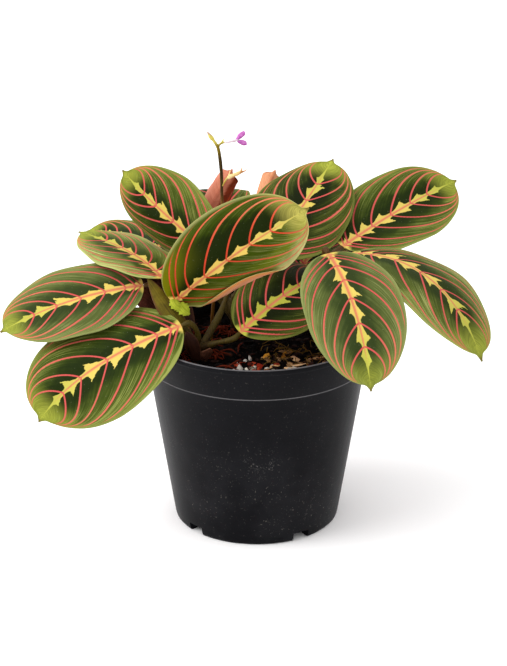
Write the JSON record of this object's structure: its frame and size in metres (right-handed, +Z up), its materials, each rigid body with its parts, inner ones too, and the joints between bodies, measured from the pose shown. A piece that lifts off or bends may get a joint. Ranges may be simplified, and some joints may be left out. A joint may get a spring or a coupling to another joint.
{
  "type": "potted prayer plant",
  "caption": "Low leafy house plant with broad oval veined leaves on short stems in soil, in a round tapered nursery pot.",
  "frame": {"origin": "centre of the pot's underside, on the plane that it stands on", "axes": "+Z up along the pot's axis, -Y towards the front of the plant, +X to the right seen from the front"},
  "size_m": [0.2908, 0.2278, 0.2475],
  "materials": {
    "pot_plastic": "satin",
    "potting_mix": "matte",
    "leaf_green": "satin",
    "young_leaf": "satin",
    "stem": "satin",
    "petal": "matte",
    "dry_bract": "matte"
  },
  "bodies": {
    "root": {"pot": "pot_plastic", "soil": "potting_mix", "leaf_far_left": "leaf_green", "leaf_low_left": "leaf_green", "leaf_mid_left": "leaf_green", "leaf_behind_left": "leaf_green", "leaf_upper_left": "leaf_green", "leaf_centre": "leaf_green", "leaf_upper_right": "leaf_green", "leaf_far_right": "leaf_green", "leaf_drooping_right": "leaf_green", "leaf_front_right": "leaf_green", "leaf_low_centre": "leaf_green", "leaf_back_crest": "leaf_green", "leaf_back_centre": "leaf_green", "leaf_back_right": "leaf_green", "leaf_back_left": "leaf_green", "leaf_rolled_young": "young_leaf", "leaf_rolled_back": "young_leaf", "shoot_left": "stem", "shoot_front": "stem", "shoot_back_left": "stem", "shoot_back": "stem", "shoot_right": "stem", "flower_stalk": "stem", "flower": "petal", "dry_bract": "dry_bract"}
  },
  "joints": []
}
